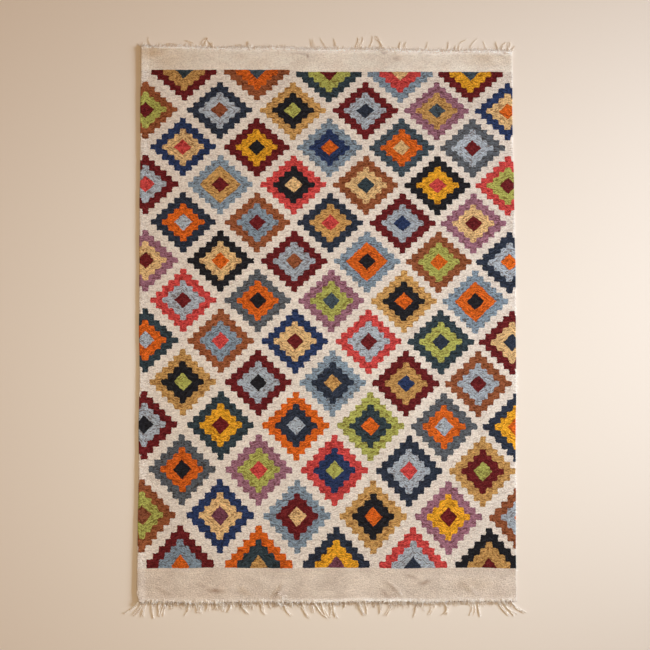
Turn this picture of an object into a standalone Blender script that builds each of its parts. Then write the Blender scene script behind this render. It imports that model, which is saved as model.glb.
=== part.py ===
"""Kilim rug, lying flat: one flat-woven cloth, and the fringe of warp ends at its head and its foot."""

import math
from collections import namedtuple

import bmesh
import bpy

# Metres, +Z up. The rug lies on z = 0 with its width along X and its head towards +Y.
HEAD_WIDTH = 1.186
FOOT_WIDTH = 1.215  # the cloth widens a little towards its foot
HEAD_Y = 0.893
FOOT_Y = -0.873
HEAD_SKEW = 0.016  # how much further the head edge reaches at the left than at the right
FOOT_SKEW = 0.003
SIDE_WAVER = 0.0009
END_WAVER = 0.0018
WAVES_ALONG = 5.3  # ripples of a side edge over the rug's length
WAVES_ACROSS = 3.4  # ripples of an end edge over the rug's width

CLOTH_THICKNESS = 0.004
RIM_ROUNDING = 0.0014
CELLS_ACROSS = 36
CELLS_ALONG = 52

YARN_THICKNESS = 0.003  # of the warp ends, which lie on the floor
SPINE_DEPTH = 0.003  # the row of knots that the warp ends leave from
PIECE_GAP = 0.0003
TASSEL_BEND = 0.0022  # how far the middle of a tassel bows out of its line

# The creases of the plain bands: soft ridges, each with its middle, its half length and half width,
# its height, and its turn from the X axis in degrees.
Crease = namedtuple("Crease", "x y half_length half_width height turn")
CREASES = (
    Crease(-0.325, -0.832, 0.055, 0.012, 0.0022, 10),
    Crease(-0.230, -0.800, 0.060, 0.016, 0.0012, -20),
    Crease(-0.150, -0.838, 0.050, 0.012, 0.0020, 58),
    Crease(0.020, -0.852, 0.140, 0.012, 0.0016, 4),
    Crease(0.205, -0.815, 0.040, 0.010, 0.0018, -34),
    Crease(0.230, -0.842, 0.035, 0.009, 0.0022, -42),
    Crease(0.310, -0.800, 0.045, 0.011, 0.0016, 12),
    Crease(0.460, -0.828, 0.050, 0.011, 0.0018, -48),
    Crease(-0.520, -0.835, 0.045, 0.012, 0.0012, -30),
    Crease(-0.080, 0.872, 0.050, 0.010, 0.0012, -8),
    Crease(0.300, 0.866, 0.060, 0.012, 0.0010, 14),
    Crease(0.530, 0.858, 0.040, 0.012, 0.0012, -32),
)

# The tassels of each fringe, from left to right: where the root stands along the edge, how far the tip
# leans to the right of the root, how far it reaches out of the edge, and how wide the root is.
Tassel = namedtuple("Tassel", "along lean reach width")
HEAD_TASSELS = (
    Tassel(-0.586, -0.018, 0.010, 0.010),
    Tassel(-0.537, -0.036, 0.034, 0.007),
    Tassel(-0.492, -0.015, 0.017, 0.012),
    Tassel(-0.424, -0.028, 0.025, 0.008),
    Tassel(-0.390, 0.006, 0.044, 0.010),
    Tassel(-0.362, -0.016, 0.030, 0.008),
    Tassel(-0.252, -0.012, 0.022, 0.012),
    Tassel(-0.146, 0.008, 0.014, 0.014),
    Tassel(-0.031, -0.017, 0.040, 0.006),
    Tassel(-0.001, -0.023, 0.045, 0.006),
    Tassel(0.048, -0.018, 0.043, 0.006),
    Tassel(0.094, 0.024, 0.046, 0.007),
    Tassel(0.125, 0.020, 0.047, 0.006),
    Tassel(0.184, -0.028, 0.050, 0.009),
    Tassel(0.234, 0.006, 0.035, 0.006),
    Tassel(0.309, 0.014, 0.032, 0.006),
    Tassel(0.377, 0.012, 0.038, 0.006),
    Tassel(0.421, 0.033, 0.046, 0.007),
    Tassel(0.459, 0.026, 0.045, 0.006),
    Tassel(0.519, -0.019, 0.034, 0.006),
    Tassel(0.554, 0.003, 0.036, 0.010),
    Tassel(0.580, 0.014, 0.036, 0.010),
)
FOOT_TASSELS = (
    Tassel(-0.594, -0.054, 0.040, 0.010),
    Tassel(-0.580, -0.022, 0.052, 0.010),
    Tassel(-0.553, 0.002, 0.058, 0.009),
    Tassel(-0.530, 0.000, 0.052, 0.010),
    Tassel(-0.438, -0.016, 0.045, 0.007),
    Tassel(-0.408, 0.006, 0.038, 0.012),
    Tassel(-0.343, 0.002, 0.032, 0.018),
    Tassel(-0.306, -0.010, 0.037, 0.008),
    Tassel(-0.265, 0.024, 0.042, 0.010),
    Tassel(-0.202, 0.006, 0.046, 0.008),
    Tassel(-0.162, -0.002, 0.030, 0.018),
    Tassel(-0.138, 0.026, 0.052, 0.008),
    Tassel(-0.076, 0.022, 0.054, 0.010),
    Tassel(-0.034, 0.034, 0.053, 0.009),
    Tassel(-0.014, 0.026, 0.057, 0.009),
    Tassel(0.018, 0.010, 0.055, 0.010),
    Tassel(0.114, 0.010, 0.052, 0.014),
    Tassel(0.171, 0.000, 0.042, 0.007),
    Tassel(0.214, -0.021, 0.051, 0.008),
    Tassel(0.240, 0.010, 0.021, 0.014),
    Tassel(0.304, -0.021, 0.052, 0.007),
    Tassel(0.343, -0.012, 0.048, 0.007),
    Tassel(0.376, 0.005, 0.048, 0.009),
    Tassel(0.406, -0.017, 0.052, 0.009),
    Tassel(0.462, 0.007, 0.052, 0.008),
    Tassel(0.488, 0.011, 0.054, 0.008),
    Tassel(0.551, 0.040, 0.055, 0.010),
    Tassel(0.570, 0.046, 0.052, 0.010),
    Tassel(0.591, 0.052, 0.041, 0.009),
)


def blend(low, high, share):
    return low + (high - low) * share


def waver(place, waves, height):
    """A hand-woven edge's unevenness: two ripples of unlike length, over a place from 0 to 1."""
    turn = 2 * math.pi * waves * place
    return height * (0.65 * math.sin(turn + 0.8) + 0.35 * math.sin(2.3 * turn + 2.1))


def head_edge(x):
    share = x / HEAD_WIDTH + 0.5
    return HEAD_Y + HEAD_SKEW * (0.5 - share) + waver(share, WAVES_ACROSS, END_WAVER)


def foot_edge(x):
    share = x / FOOT_WIDTH + 0.5
    return FOOT_Y - FOOT_SKEW * (0.5 - share) + waver(share + 0.3, WAVES_ACROSS, END_WAVER)


def side_edge(side, share):
    """The X of the left (-1) or right (1) edge, at a share of the way from foot to head."""
    half_width = blend(FOOT_WIDTH, HEAD_WIDTH, share) / 2
    return side * half_width + waver(share + 0.2 * side, WAVES_ALONG, SIDE_WAVER)


def outline_point(across, along):
    """A point of the flat cloth, from its shares of the way across and from foot to head."""
    x = blend(side_edge(-1, along), side_edge(1, along), across)
    return x, blend(foot_edge(x), head_edge(x), along)


def crease_height(x, y):
    height = 0.0
    for crease in CREASES:
        turn = math.radians(crease.turn)
        dx, dy = x - crease.x, y - crease.y
        lengthways = (dx * math.cos(turn) + dy * math.sin(turn)) / crease.half_length
        sideways = (dy * math.cos(turn) - dx * math.sin(turn)) / crease.half_width
        distance = math.hypot(lengthways, sideways)
        if distance < 1:
            height += crease.height * (1 - distance * distance) ** 2
    return height


def plain_material(name, colour, roughness):
    material = bpy.data.materials.new(name)
    material.use_nodes = True
    shader = material.node_tree.nodes["Principled BSDF"]
    shader.inputs["Base Color"].default_value = (*colour, 1.0)
    shader.inputs["Roughness"].default_value = roughness
    shader.inputs["Metallic"].default_value = 0.0
    return material


def make_cloth(parts, rug):
    """The cloth: flat underneath, its top raised by the creases, its top rim rounded over."""
    cloth = bmesh.new()
    bmesh.ops.create_grid(cloth, x_segments=CELLS_ACROSS, y_segments=CELLS_ALONG, size=0.5)
    for vert in cloth.verts:
        vert.co.x, vert.co.y = outline_point(vert.co.x + 0.5, vert.co.y + 0.5)
    lifted = bmesh.ops.extrude_face_region(cloth, geom=cloth.faces[:])["geom"]
    for vert in (item for item in lifted if isinstance(item, bmesh.types.BMVert)):
        vert.co.z = CLOTH_THICKNESS + crease_height(vert.co.x, vert.co.y)
    bmesh.ops.recalc_face_normals(cloth, faces=cloth.faces)
    top_rim = [
        edge
        for edge in cloth.edges
        if all(vert.co.z > CLOTH_THICKNESS / 2 for vert in edge.verts)
        and any(abs(face.normal.z) < 0.5 for face in edge.link_faces)
    ]
    bmesh.ops.bevel(
        cloth, geom=top_rim, offset=RIM_ROUNDING, segments=2, profile=0.5, affect="EDGES", material=-1
    )
    mesh = bpy.data.meshes.new("rug_cloth")
    cloth.to_mesh(mesh)
    cloth.free()
    mesh.shade_smooth()
    mesh.materials.append(plain_material("wool weave", (0.42, 0.27, 0.20), 0.92))
    piece = bpy.data.objects.new("rug_cloth", mesh)
    piece.parent = rug
    parts.objects.link(piece)
    return piece


def comb_outline(tassels, edge, outward, half_width):
    """The comb's outline: out and back along each tassel, then back along the edge of the cloth."""
    points = []
    for number, tassel in enumerate(tassels):
        bow = TASSEL_BEND * (1 if number % 2 else -1)
        left, right = tassel.along - tassel.width / 2, tassel.along + tassel.width / 2
        middle = tassel.along + tassel.lean * 0.45 + bow
        tip = tassel.along + tassel.lean
        root_y = edge(tassel.along) + outward * (PIECE_GAP + SPINE_DEPTH)
        points += [
            (left, root_y),
            (middle - tassel.width * 0.32, root_y + outward * tassel.reach * 0.5),
            (tip - tassel.width * 0.12, root_y + outward * (tassel.reach - SPINE_DEPTH)),
            (tip + tassel.width * 0.12, root_y + outward * (tassel.reach - SPINE_DEPTH)),
            (middle + tassel.width * 0.32, root_y + outward * tassel.reach * 0.5),
            (right, root_y),
        ]
    points[0] = (-half_width, points[0][1])
    points[-1] = (half_width, points[-1][1])
    for cell in range(CELLS_ACROSS, -1, -1):
        x = blend(-half_width, half_width, cell / CELLS_ACROSS)
        points.append((x, edge(x) + outward * PIECE_GAP))
    return points


def make_fringe(name, points, parts, rug):
    """A fringe: the flat outline of its tassels, one yarn thick, lying on the floor."""
    curve = bpy.data.curves.new(name, "CURVE")
    curve.dimensions = "2D"
    curve.fill_mode = "BOTH"
    curve.extrude = YARN_THICKNESS / 2
    spline = curve.splines.new("POLY")
    spline.points.add(len(points) - 1)
    for spot, (x, y) in zip(spline.points, points):
        spot.co = (x, y, 0.0, 1.0)
    spline.use_cyclic_u = True
    curve.materials.append(plain_material(name + " yarn", (0.62, 0.50, 0.38), 0.9))
    piece = bpy.data.objects.new(name, curve)
    piece.location.z = YARN_THICKNESS / 2
    piece.parent = rug
    parts.objects.link(piece)
    return piece


def centre_on_origin(rug, pieces):
    """The middle of the whole rug's box, seen from above, goes to the origin."""
    bpy.context.view_layer.update()
    corners = [piece.matrix_world @ vert.co for piece in pieces for vert in piece.to_mesh().vertices]
    rug.location.x = -(min(c.x for c in corners) + max(c.x for c in corners)) / 2
    rug.location.y = -(min(c.y for c in corners) + max(c.y for c in corners)) / 2


def main():
    for thing in list(bpy.data.objects):
        bpy.data.objects.remove(thing)
    parts = bpy.data.collections.new("kilim rug")
    bpy.context.scene.collection.children.link(parts)
    rug = bpy.data.objects.new("kilim rug", None)
    parts.objects.link(rug)

    head_outline = comb_outline(HEAD_TASSELS, head_edge, 1, side_edge(1, 1.0))
    foot_outline = comb_outline(FOOT_TASSELS, foot_edge, -1, side_edge(1, 0.0))
    pieces = [
        make_cloth(parts, rug),
        make_fringe("head_fringe", head_outline, parts, rug),
        make_fringe("foot_fringe", foot_outline, parts, rug),
    ]
    centre_on_origin(rug, pieces)


main()
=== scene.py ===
import math
import random

import bmesh
import bpy
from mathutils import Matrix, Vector, noise


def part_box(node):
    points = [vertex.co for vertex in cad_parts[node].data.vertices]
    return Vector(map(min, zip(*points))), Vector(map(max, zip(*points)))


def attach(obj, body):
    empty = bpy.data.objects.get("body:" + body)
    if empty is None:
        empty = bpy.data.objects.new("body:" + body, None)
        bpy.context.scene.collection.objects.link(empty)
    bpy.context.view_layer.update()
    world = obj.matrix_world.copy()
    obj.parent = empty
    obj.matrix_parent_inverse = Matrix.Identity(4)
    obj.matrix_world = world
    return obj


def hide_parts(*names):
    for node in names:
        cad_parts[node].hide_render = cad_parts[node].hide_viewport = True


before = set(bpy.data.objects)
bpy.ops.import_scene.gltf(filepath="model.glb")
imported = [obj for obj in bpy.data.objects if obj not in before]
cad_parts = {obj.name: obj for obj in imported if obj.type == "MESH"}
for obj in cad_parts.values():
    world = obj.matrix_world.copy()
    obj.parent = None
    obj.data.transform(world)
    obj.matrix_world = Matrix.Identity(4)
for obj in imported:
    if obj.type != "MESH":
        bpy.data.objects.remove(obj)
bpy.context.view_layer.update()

print("frame loaded")


def feed(tree, socket, value):
    if isinstance(value, bpy.types.NodeSocket):
        tree.links.new(value, socket)
    else:
        socket.default_value = value


def putNode(tree, kind, inputs=None, **settings):
    node = tree.nodes.new(kind)
    for name, value in settings.items():
        setattr(node, name, value)
    for name, value in (inputs or {}).items():
        feed(tree, node.inputs[name], value)
    return node


def mathOf(tree, operation, first, second=0.0, clamp=False):
    node = putNode(tree, "ShaderNodeMath", {0: first, 1: second}, operation=operation, use_clamp=clamp)
    return node.outputs[0]


def vectorOf(tree, operation, first, second=(0.0, 0.0, 0.0)):
    node = putNode(tree, "ShaderNodeVectorMath", {0: first, 1: second}, operation=operation)
    return node.outputs[0]


def mixOf(tree, factor, first, second):
    node = putNode(tree, "ShaderNodeMix", {0: factor, 6: first, 7: second}, data_type="RGBA")
    return node.outputs[2]


def rangeOf(tree, value, low, high, toLow, toHigh):
    node = putNode(tree, "ShaderNodeMapRange", {0: value, 1: low, 2: high, 3: toLow, 4: toHigh})
    return node.outputs[0]


def newGroup(name, inputs, outputs):
    group = bpy.data.node_groups.new(name, "ShaderNodeTree")
    for label, kind, value in inputs:
        socket = group.interface.new_socket(label, in_out="INPUT", socket_type=kind)
        if value is not None:
            socket.default_value = value
    for label, kind in outputs:
        group.interface.new_socket(label, in_out="OUTPUT", socket_type=kind)
    return group, group.nodes.new("NodeGroupInput"), group.nodes.new("NodeGroupOutput")


def useGroup(tree, group, inputs):
    return putNode(tree, "ShaderNodeGroup", inputs, node_tree=group)


def smooth(low, high, value):
    share = min(max((value - low) / (high - low), 0.0), 1.0)
    return share * share * (3 - 2 * share)


def blend(low, high, share):
    return low + (high - low) * share


def linear(red, green, blue):
    return tuple(((part / 255 + 0.055) / 1.055) ** 2.4 for part in (red, green, blue)) + (1.0,)


outline = {
    "headWidth": 1.186,
    "footWidth": 1.215,
    "headY": 0.893,
    "footY": -0.873,
    "headSkew": 0.016,
    "footSkew": 0.003,
    "leftTuck": 0.0030,  # the left side runs in a little over its lower half
    "rightSwell": 0.0055,
    "cornerPull": 0.009,
    "cornerReach": 0.022,  # share of the length that the pulled corner takes
    "sideWaver": 0.0009,
    "endWaver": 0.0018,
    "wavesAlong": 5.3,
    "wavesAcross": 3.4,
    "thickness": 0.004,
}


def waver(place, waves, height):
    turn = 2 * math.pi * waves * place
    return height * (0.65 * math.sin(turn + 0.8) + 0.35 * math.sin(2.3 * turn + 2.1))


def headEdge(x):
    share = x / outline["headWidth"] + 0.5
    bend = waver(share, outline["wavesAcross"], outline["endWaver"])
    return outline["headY"] + outline["headSkew"] * (0.5 - share) + bend


def footEdge(x):
    share = x / outline["footWidth"] + 0.5
    bend = waver(share + 0.3, outline["wavesAcross"], outline["endWaver"])
    return outline["footY"] - outline["footSkew"] * (0.5 - share) + bend


def sideEdge(side, share):
    halfWidth = blend(outline["footWidth"], outline["headWidth"], share) / 2
    x = side * halfWidth + waver(share + 0.2 * side, outline["wavesAlong"], outline["sideWaver"])
    if side > 0:
        return x + outline["rightSwell"] * smooth(0.15, 0.5, share) * (1 - smooth(0.6, 0.9, share))
    x += outline["leftTuck"] * smooth(0.0, 0.15, share) * (1 - smooth(0.4, 0.6, share))
    return x + outline["cornerPull"] * (1 - smooth(0.0, outline["cornerReach"], share)) ** 2


def outlinePoint(across, along):
    x = blend(sideEdge(-1, along), sideEdge(1, along), across)
    return x, blend(footEdge(x), headEdge(x), along)


# the loom's own middle lies a little off the middle of the finished rug
clothLow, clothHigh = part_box("rug_cloth")
rimPlaces = [step / 400 for step in range(401)]
rightmost = max(sideEdge(1, share) for share in rimPlaces)
lowest = min(footEdge(blend(-0.5, 0.5, share) * outline["footWidth"]) for share in rimPlaces)
shift = Vector((clothHigh.x - rightmost, clothLow.y - lowest, 0.0))

yarns = {
    "maroon": linear(101, 23, 25),
    "brown": linear(142, 80, 47),
    "coral": linear(194, 66, 63),
    "gold": linear(219, 156, 35),
    "ochre": linear(188, 144, 83),
    "sand": linear(213, 176, 123),
    "olive": linear(165, 165, 83),
    "orange": linear(207, 95, 22),
    "rust": linear(130, 72, 46),
    "mauve": linear(147, 100, 116),
    "plum": linear(104, 56, 72),
    "sky": linear(161, 169, 178),
    "steel": linear(126, 142, 156),
    "grey": linear(86, 90, 96),
    "slate": linear(64, 77, 87),
    "teal": linear(46, 59, 66),
    "navy": linear(40, 47, 62),
    "royal": linear(37, 52, 90),
    "black": linear(27, 26, 31),
}
cream = linear(222, 211, 200)
creamSpeck = linear(170, 130, 102)
headBand = (linear(234, 225, 212), linear(225, 211, 196))
footBand = (linear(222, 207, 192), linear(208, 191, 176))
# paler yarn of the twined ends, with painted highlight
paleTwineAndHighlight = linear(250, 244, 238)
stainedBand = linear(200, 172, 138)
# painted shade for the creases of the bands
creaseShadeColour = linear(140, 98, 68)
# painted shade for the gaps and dark fibres at the foot edge
paintedKnotShade = linear(118, 84, 57)
warpPale = linear(250, 242, 230)
warpTan = linear(218, 194, 166)
fibreWhite = linear(255, 250, 244)

# each row from the head down: its diamonds from left to right, each with its outer, middle and core yarn
diamondRows = (
    ("maroon ochre teal, brown orange slate, teal olive maroon, steel coral sand, "
     "maroon gold slate"),
    ("brown olive maroon, navy sky rust, ochre black olive, maroon sky navy, "
     "mauve ochre slate, royal sand orange"),
    ("royal sand coral, maroon gold black, steel royal orange, slate orange sand, "
     "grey sky maroon"),
    ("maroon sky coral, steel ochre maroon, coral black sand, brown sand teal, "
     "black gold coral, coral olive maroon"),
    ("navy orange sky, brown steel maroon, navy ochre coral, maroon sky royal, "
     "mauve sand maroon"),
    ("mauve sand maroon, black sand orange, maroon sky brown, steel orange black, "
     "brown olive orange, navy sky orange"),
    ("coral sky maroon, grey orange black, mauve olive slate, ochre black orange, "
     "steel orange black"),
    ("teal orange sky, brown steel coral, royal sand maroon, coral sky maroon, "
     "teal olive navy, maroon sand navy"),
    ("ochre black olive, maroon sky black, steel navy ochre, maroon ochre royal, "
     "brown sky maroon"),
    ("maroon sky black, teal gold maroon, orange navy sky, olive teal orange, "
     "grey orange sky, navy gold orange"),
    ("grey orange black, mauve olive coral, coral royal olive, navy sky coral, "
     "ochre maroon olive"),
    ("brown olive rust, royal sand plum, steel maroon sand, ochre black orange, "
     "mauve gold maroon, brown sky orange"),
    ("maroon steel orange, orange teal ochre, navy gold plum, coral sky navy, "
     "black ochre maroon"),
)
straightMiddles = {(3, 1), (5, 3), (6, 4)}  # row and place of middle rings woven without steps

pattern = {
    "headLine": 0.8221,  # where the field meets the head band
    "headLineRise": 0.0067,  # it stands higher over the two diamonds at the left
    "riseFrom": -0.14,
    "riseTo": -0.07,
    "footLine": -0.7640,
    "footWaver": 0.0016,
    "footWaves": 2.6,
    "firstDrop": 0.0092,  # from the head line to the middles of the first row
    "firstPitch": 0.1140,  # between the middles of the first two rows
    "rowPitch": 0.1188,  # between the next two, and it grows towards the foot
    "rowGrowth": 0.0340,
    "growthCurve": 1.7,
    "tilt": 0.0040,  # the rows drop to the right, in metres per metre, more towards the foot
    "tiltGrowth": 0.0040,
    "sway": -0.0035,  # the rows drift to the right on the way to the foot
    "swayGrowth": 0.0055,
    "firstColumn": -0.456,
    "lastColumnShift": -0.0138,
    "columnPitch": 0.2310,
    "columnGrowth": 0.0155,
    "columnCurve": 2.4,
    "columnBow": 0.0256,
    "middleBow": 0.0060,
    "bowSpan": 4.3,  # in columns
    "stepWidth": 0.0189,
    "stepGrowth": 0.0006,
    "firstRowPinch": 0.0026,  # the first row draws in towards this column
    "pinchColumn": 1.7,
    "levels": 7,  # of weaving between two rows of diamonds
    "acrossWeight": 1.13,  # how soon a neighbour at the side takes over from one above
    "toneLow": 0.93,  # each diamond's dye is a little lighter or darker
    "toneHigh": 1.06,
    "toneSeed": 4,
    "outerReach": 5.52,  # in steps from a diamond's middle
    "middleReach": 3.54,
    "coreReach": 1.50,
    "cutCore": 0.12,  # the core of a cut diamond is this share taller
}


def fieldHead(x):
    share = 1 - smooth(pattern["riseFrom"], pattern["riseTo"], x)
    return pattern["headLine"] + pattern["headLineRise"] * share


def fieldFoot(x):
    return pattern["footLine"] + waver(x, pattern["footWaves"], pattern["footWaver"])


def layOutDiamonds():
    grown = len(diamondRows) - 2
    drops = [0.0, pattern["firstPitch"]]
    for row in range(grown):
        growth = pattern["rowGrowth"] * (row / (grown - 1)) ** pattern["growthCurve"]
        drops.append(pattern["rowPitch"] + growth)
    lastDrop = sum(drops)
    chance = random.Random(pattern["toneSeed"])
    diamonds = []
    y = pattern["headLine"] - pattern["firstDrop"]
    for row, line in enumerate(diamondRows):
        y -= drops[row]
        share = max(0.0, sum(drops[: row + 1]) - drops[1]) / (lastDrop - drops[1])
        above = drops[max(row, 1)]
        below = drops[min(row + 1, len(drops) - 1)]
        tilt = pattern["tilt"] + pattern["tiltGrowth"] * share if row else 0.0
        sway = pattern["sway"] + pattern["swayGrowth"] * share
        bow = pattern["columnBow"] + pattern["middleBow"] * 4 * share * (1 - share)
        for place, names in enumerate(line.split(", ")):
            column = place - 0.5 * (row % 2)
            x = pattern["firstColumn"] + pattern["lastColumnShift"] * share**3 + sway
            widening = pattern["columnGrowth"] * share ** pattern["columnCurve"]
            x += column * (pattern["columnPitch"] + widening)
            x += bow * (column / pattern["bowSpan"]) * (1 - column / pattern["bowSpan"])
            rise = 0.0
            if row == 0:
                rise = fieldHead(x) - pattern["headLine"]
                x -= pattern["firstRowPinch"] * (column - pattern["pinchColumn"])
            diamonds.append({
                "x": x,
                "y": y + rise - tilt * x,
                "step": pattern["stepWidth"] + pattern["stepGrowth"] * share,
                "above": above / pattern["levels"],
                "below": below / pattern["levels"],
                "yarns": [yarns[name] for name in names.split()],
                "straight": (row, place) in straightMiddles,
                # the first and last rows are cut off at their middles, and measured inwards
                "cut": row in (0, len(drops) - 1),
                "inward": -1 if row == 0 else 1,
                "tone": chance.uniform(pattern["toneLow"], pattern["toneHigh"]),
            })
    return diamonds


diamonds = layOutDiamonds()
print(len(diamonds), "diamonds laid out")


def stepsFrom(diamond, x, y):
    rise = y - diamond["y"]
    along = rise / diamond["above" if rise > 0 else "below"]
    return (x - diamond["x"]) / diamond["step"], along * diamond["inward"]


def nearestDiamond(x, y):
    def distance(diamond):
        across, along = stepsFrom(diamond, x, y)
        return abs(across) * pattern["acrossWeight"] + abs(along)
    return min(diamonds, key=distance)


cloth = {
    "cell": 0.0070,
    "rimRounding": 0.0013,
    "ripple": 0.00035,
    "rippleSize": 0.055,
    "edgeRidge": 0.0020,
    "edgeRidgeWidth": 0.006,
    "ridgeFromEnd": 0.004,
    "curlWidth": 0.030,  # the left side curls up a little, most near its ends
    "curlMiddle": 0.0022,
    "curlEnds": 0.0056,
    "footCurl": 0.0034,  # the foot's edge stands off the floor between its strands
    "footCurlWidth": 0.014,
    "creaseGain": 1.5,
    "headTwineAndHighlight": 0.75,
    "mapWidth": 1.24,  # of the flat map that the look is baked on
    "mapHeight": 1.80,
    "topShare": 0.665,
}

# soft creases: middle x, y, half length, half width, height, turn in degrees
creases = (
    (-0.325, -0.832, 0.055, 0.012, 0.0024, 10),
    (-0.230, -0.800, 0.060, 0.016, 0.0014, -20),
    (-0.150, -0.838, 0.050, 0.012, 0.0024, 58),
    (0.020, -0.852, 0.140, 0.012, 0.0018, 4),
    (0.205, -0.815, 0.040, 0.010, 0.0020, -34),
    (0.230, -0.842, 0.035, 0.009, 0.0026, -42),
    (0.310, -0.800, 0.045, 0.011, 0.0018, 12),
    (0.460, -0.828, 0.050, 0.011, 0.0022, -48),
    (-0.520, -0.835, 0.045, 0.012, 0.0014, -30),
    (-0.080, 0.872, 0.050, 0.010, 0.0014, -8),
    (0.300, 0.866, 0.060, 0.012, 0.0012, 14),
    (0.530, 0.858, 0.040, 0.012, 0.0014, -32),
)
# stained places, and after them places of painted crease shade: middle x, y, half length, half width, turn in
# degrees, strength
stains = (
    (-0.556, 0.884, 0.060, 0.026, 0, 0.75),
    (-0.500, 0.862, 0.110, 0.036, 4, 0.35),
    (0.500, 0.872, 0.120, 0.036, -4, 0.40),
    (0.548, 0.872, 0.040, 0.012, -28, 0.45),
    (-0.265, -0.836, 0.030, 0.011, -30, 0.35),
    (0.470, -0.815, 0.080, 0.024, 0, 0.25),
)
# places of painted crease shade, with the same columns
paintedCreaseShade = (
    (-0.086, 0.879, 0.030, 0.006, -10, 0.48),
    (-0.060, 0.871, 0.007, 0.010, 20, 0.70),
    (0.184, 0.884, 0.016, 0.006, 6, 0.80),
    (0.229, 0.866, 0.018, 0.008, -8, 0.36),
    (0.548, 0.876, 0.028, 0.006, -28, 0.36),
    (-0.356, -0.836, 0.030, 0.009, -8, 0.60),
    (-0.398, -0.820, 0.024, 0.007, -15, 0.34),
    (-0.520, -0.838, 0.034, 0.009, -24, 0.26),
    (-0.150, -0.838, 0.030, 0.008, 58, 0.30),
    (0.310, -0.811, 0.030, 0.007, 14, 0.55),
    (0.268, -0.792, 0.036, 0.007, -25, 0.34),
    (0.187, -0.848, 0.030, 0.009, -40, 0.40),
    (0.214, -0.826, 0.026, 0.007, -40, 0.28),
    (0.440, -0.836, 0.022, 0.006, -48, 0.26),
)


def creaseHeight(x, y):
    height = 0.0
    for midX, midY, halfLength, halfWidth, rise, degrees in creases:
        dx, dy = x - midX, y - midY
        if abs(dx) > halfLength or abs(dy) > halfLength:
            continue
        turn = math.radians(degrees)
        lengthways = (dx * math.cos(turn) + dy * math.sin(turn)) / halfLength
        sideways = (dy * math.cos(turn) - dx * math.sin(turn)) / halfWidth
        distance = math.hypot(lengthways, sideways)
        if distance < 1:
            height += rise * (1 - distance * distance) ** 2
    return height * cloth["creaseGain"]


def curlHeight(x, y):
    along = (y - footEdge(x)) / (headEdge(x) - footEdge(x))
    amount = blend(cloth["curlMiddle"], cloth["curlEnds"], (2 * along - 1) ** 2)
    height = amount * (1 - smooth(0, cloth["curlWidth"], x - sideEdge(-1, along)))
    unevenness = 0.75 + 0.5 * noise.noise(Vector((x * 28, 0.0, 2.0)))
    atFoot = 1 - smooth(0, cloth["footCurlWidth"], y - footEdge(x))
    return height + cloth["footCurl"] * unevenness * atFoot


def topHeight(x, y):
    ripple = noise.noise(Vector((x, y, 0.3)) / cloth["rippleSize"]) * cloth["ripple"]
    ripple += noise.noise(Vector((x * 0.4, y, 5.1)) / (cloth["rippleSize"] * 0.35)) * cloth["ripple"] * 0.6
    fromEnd = min(headEdge(x) - y, y - footEdge(x))
    offRidge = (fromEnd - cloth["ridgeFromEnd"]) / cloth["edgeRidgeWidth"]
    ridge = cloth["edgeRidge"] * math.exp(-(offRidge**2))
    return outline["thickness"] + ripple + creaseHeight(x, y) + ridge


def makeCloth():
    body = bmesh.new()
    across = round(outline["footWidth"] / cloth["cell"])
    along = round((outline["headY"] - outline["footY"]) / cloth["cell"])
    bmesh.ops.create_grid(body, x_segments=across, y_segments=along, size=0.5)
    for vert in body.verts:
        vert.co.x, vert.co.y = outlinePoint(vert.co.x + 0.5, vert.co.y + 0.5)
    lifted = bmesh.ops.extrude_face_region(body, geom=body.faces[:])["geom"]
    for vert in (item for item in lifted if isinstance(item, bmesh.types.BMVert)):
        vert.co.z = topHeight(vert.co.x, vert.co.y)
    for vert in body.verts:
        vert.co.z += curlHeight(vert.co.x, vert.co.y)
    bmesh.ops.recalc_face_normals(body, faces=body.faces)
    rims = [
        edge for edge in body.edges
        if abs(edge.verts[0].co.z - edge.verts[1].co.z) < 0.002
        and any(abs(face.normal.z) < 0.5 for face in edge.link_faces)
    ]
    bmesh.ops.bevel(
        body, geom=rims, offset=cloth["rimRounding"], segments=2, profile=0.5, affect="EDGES", material=-1
    )
    writePattern(body)
    bmesh.ops.translate(body, verts=body.verts, vec=shift)
    mesh = bpy.data.meshes.new("rugCloth")
    body.to_mesh(mesh)
    body.free()
    mesh.shade_smooth()
    piece = bpy.data.objects.new("rugCloth", mesh)
    bpy.context.collection.objects.link(piece)
    return piece


def twineAndHighlightShare(x, y):
    # the twined edge is painted paler, partly its paler yarn and partly painted highlight: palest right of
    # the middle at the foot, and it fades out to the left at the head
    if y > 0:
        return cloth["headTwineAndHighlight"] * smooth(-0.55, -0.30, x)
    return blend(0.35, 1.0, smooth(-0.18, -0.02, x) * (1 - smooth(0.22, 0.42, x)))


def flatPlace(normal, point):
    # the top fills two thirds of the map and the underside the rest, with the rim folded outwards
    fold = max(outline["thickness"] + 0.001 - point.z, 0.0) if normal.z > -0.5 else 0.0
    width = (point.x + normal.x * fold) / cloth["mapWidth"] + 0.5
    height = (point.y + normal.y * fold) / cloth["mapHeight"] + 0.5
    if normal.z > -0.5:
        return width * cloth["topShare"], height
    return cloth["topShare"] + (1 - width) * (1 - cloth["topShare"]), height


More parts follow.
